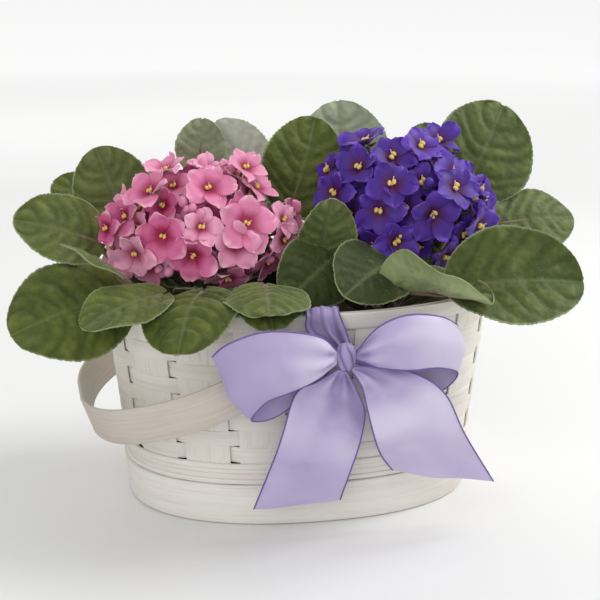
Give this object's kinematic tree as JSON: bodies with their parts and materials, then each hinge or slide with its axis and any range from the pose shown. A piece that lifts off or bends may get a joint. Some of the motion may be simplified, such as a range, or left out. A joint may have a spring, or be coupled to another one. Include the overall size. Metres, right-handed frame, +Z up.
{
  "type": "potted african violets in a handled basket",
  "caption": "African violets, pink and purple, in pots inside an oval whitewashed splint basket with a folded drop handle and a wide ribbon bow.",
  "frame": {"origin": "middle of the basket's underside, on the surface that it stands on", "axes": "+X along the basket's length to the purple plant's end, -Y towards the front with the bow, +Z up"},
  "size_m": [0.3463, 0.2155, 0.2215],
  "materials": {
    "splint": "whitewashed thin wood strip, matt, with cream and pinkish grain",
    "handle_wood": "bent wood band with a thin grey-white wash, matt",
    "rivet": "dulled rivet",
    "liner_film": "thin dark brown plastic liner",
    "grower_pot": "moulded green grower's pot",
    "compost": "moist peat compost",
    "leaf": "hairy quilted leaf, pale green beneath",
    "pink_petal": "velvety petal with a deep rose throat and yellow anthers",
    "purple_petal": "velvety petal with yellow anthers",
    "ribbon": "lavender taffeta ribbon with a darker wired edge"
  },
  "bodies": {
    "basket": {"basket_floor": "splint", "base_band": "splint", "trim_lower": "splint", "trim_upper": "splint", "stake_01": "splint", "stake_02": "splint", "stake_03": "splint", "stake_04": "splint", "stake_05": "splint", "stake_06": "splint", "stake_07": "splint", "stake_08": "splint", "stake_09": "splint", "stake_10": "splint", "stake_11": "splint", "stake_12": "splint", "stake_13": "splint", "stake_14": "splint", "stake_15": "splint", "stake_16": "splint", "stake_17": "splint", "stake_18": "splint", "weaver_1": "splint", "weaver_2": "splint", "weaver_3": "splint", "weaver_4": "splint", "weaver_5": "splint", "weaver_6": "splint", "weaver_7": "splint", "weaver_8": "splint", "rim_outer": "splint", "rim_inner": "splint", "front_pivot": "rivet", "back_pivot": "rivet", "liner": "liner_film", "pink_pot": "grower_pot", "pink_soil": "compost", "purple_pot": "grower_pot", "purple_soil": "compost", "pink_foliage": "leaf", "purple_foliage": "leaf", "pink_flowers": "pink_petal", "purple_flowers": "purple_petal", "bow_knot": "ribbon", "bow_loop_left": "ribbon", "bow_loop_right": "ribbon", "bow_tail_left": "ribbon", "bow_tail_right": "ribbon", "bow_tie": "ribbon"},
    "handle": {"handle": "handle_wood"}
  },
  "joints": [
    {"name": "handle_swing", "type": "hinge", "parent": "basket", "child": "handle", "pos_m": [0, 0, 0.1012], "axis": [0, 1, 0], "range_deg": [-12, 14]}
  ]
}
